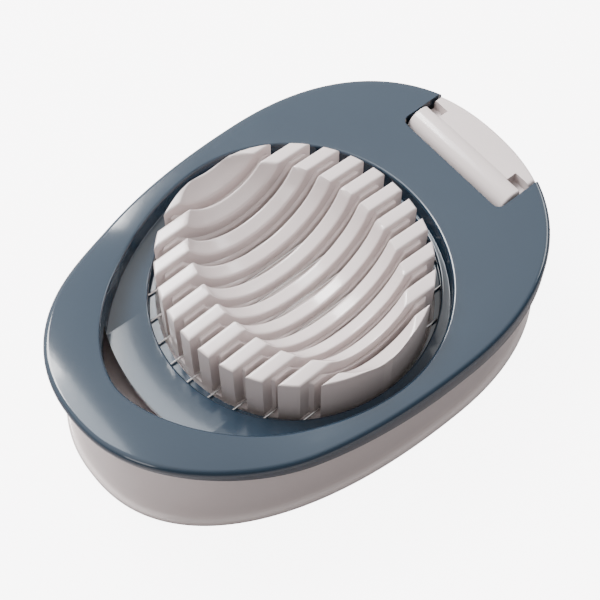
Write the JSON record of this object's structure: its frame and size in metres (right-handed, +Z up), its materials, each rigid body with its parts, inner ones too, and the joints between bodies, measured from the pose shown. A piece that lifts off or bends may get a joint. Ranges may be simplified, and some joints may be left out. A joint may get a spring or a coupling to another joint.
{
  "type": "egg slicer",
  "caption": "Egg-shaped hinged egg slicer: a ribbed cradle on a shell base and a ring lid strung with parallel cutting wires.",
  "frame": {"origin": "middle of the object's bounding box, on the surface it stands on", "axes": "+Z up, +Y towards the hinge, +X to the right seen from the finger gap"},
  "size_m": [0.0862, 0.126, 0.0358],
  "materials": {
    "grey_moulding": "moulded gloss, warm light grey",
    "teal_moulding": "moulded high gloss, petrol blue",
    "stainless_wire": "bright drawn wire",
    "pin_steel": "turned steel",
    "foot_rubber": "matt soft rubber"
  },
  "bodies": {
    "base": {"base_shell": "grey_moulding", "egg_cradle": "grey_moulding", "foot_front_left": "foot_rubber", "foot_front_right": "foot_rubber", "foot_rear_left": "foot_rubber", "foot_rear_right": "foot_rubber", "hinge_pin_left": "pin_steel", "hinge_pin_right": "pin_steel"},
    "lid": {"lid_frame": "teal_moulding", "wire_clamp_ring": "teal_moulding", "cutting_wire_01": "stainless_wire", "cutting_wire_02": "stainless_wire", "cutting_wire_03": "stainless_wire", "cutting_wire_04": "stainless_wire", "cutting_wire_05": "stainless_wire", "cutting_wire_06": "stainless_wire", "cutting_wire_07": "stainless_wire", "cutting_wire_08": "stainless_wire", "cutting_wire_09": "stainless_wire", "cutting_wire_10": "stainless_wire"}
  },
  "joints": [
    {"name": "lid_hinge", "type": "hinge", "parent": "base", "child": "lid", "pos_m": [0, 0.0525, 0.0245], "axis": [-1, 0, 0], "range_deg": [0, 110]}
  ]
}
